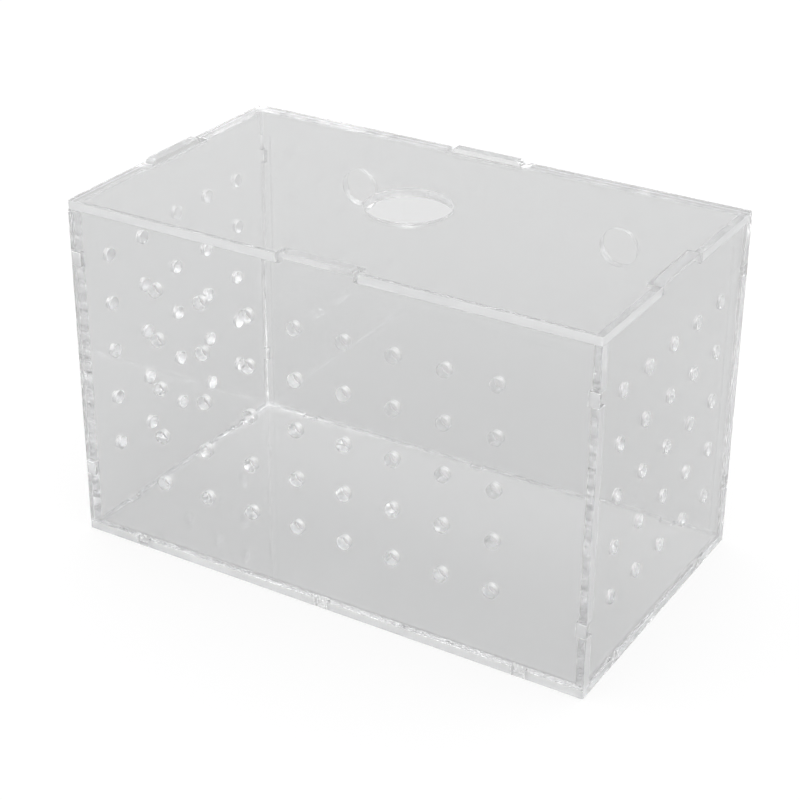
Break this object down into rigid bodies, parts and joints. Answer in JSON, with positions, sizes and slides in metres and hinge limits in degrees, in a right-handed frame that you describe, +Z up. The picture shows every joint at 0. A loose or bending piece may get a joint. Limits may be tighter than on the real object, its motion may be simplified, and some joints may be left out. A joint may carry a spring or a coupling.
{
  "type": "fish breeding box",
  "caption": "Clear box of flat interlocked panels that keeps fish apart in a tank, with grids of vent holes, holes for suction cups and a lift-off lid with a feeding hole.",
  "frame": {"origin": "on the surface that the box stands on, under the middle of the box", "axes": "+Z up, the vented front wall faces -Y, +X runs along the length to the right"},
  "size_m": [0.161, 0.0914, 0.1044],
  "materials": {
    "clear_acrylic": "polished"
  },
  "bodies": {
    "box": {"bottom_panel": "clear_acrylic", "front_wall": "clear_acrylic", "back_wall": "clear_acrylic", "left_wall": "clear_acrylic", "right_wall": "clear_acrylic"},
    "lid": {"lid": "clear_acrylic"}
  },
  "joints": [
    {"name": "lid_lift", "type": "slide", "parent": "box", "child": "lid", "axis": [0, 0, 1], "range_m": [0, 0.06]}
  ]
}
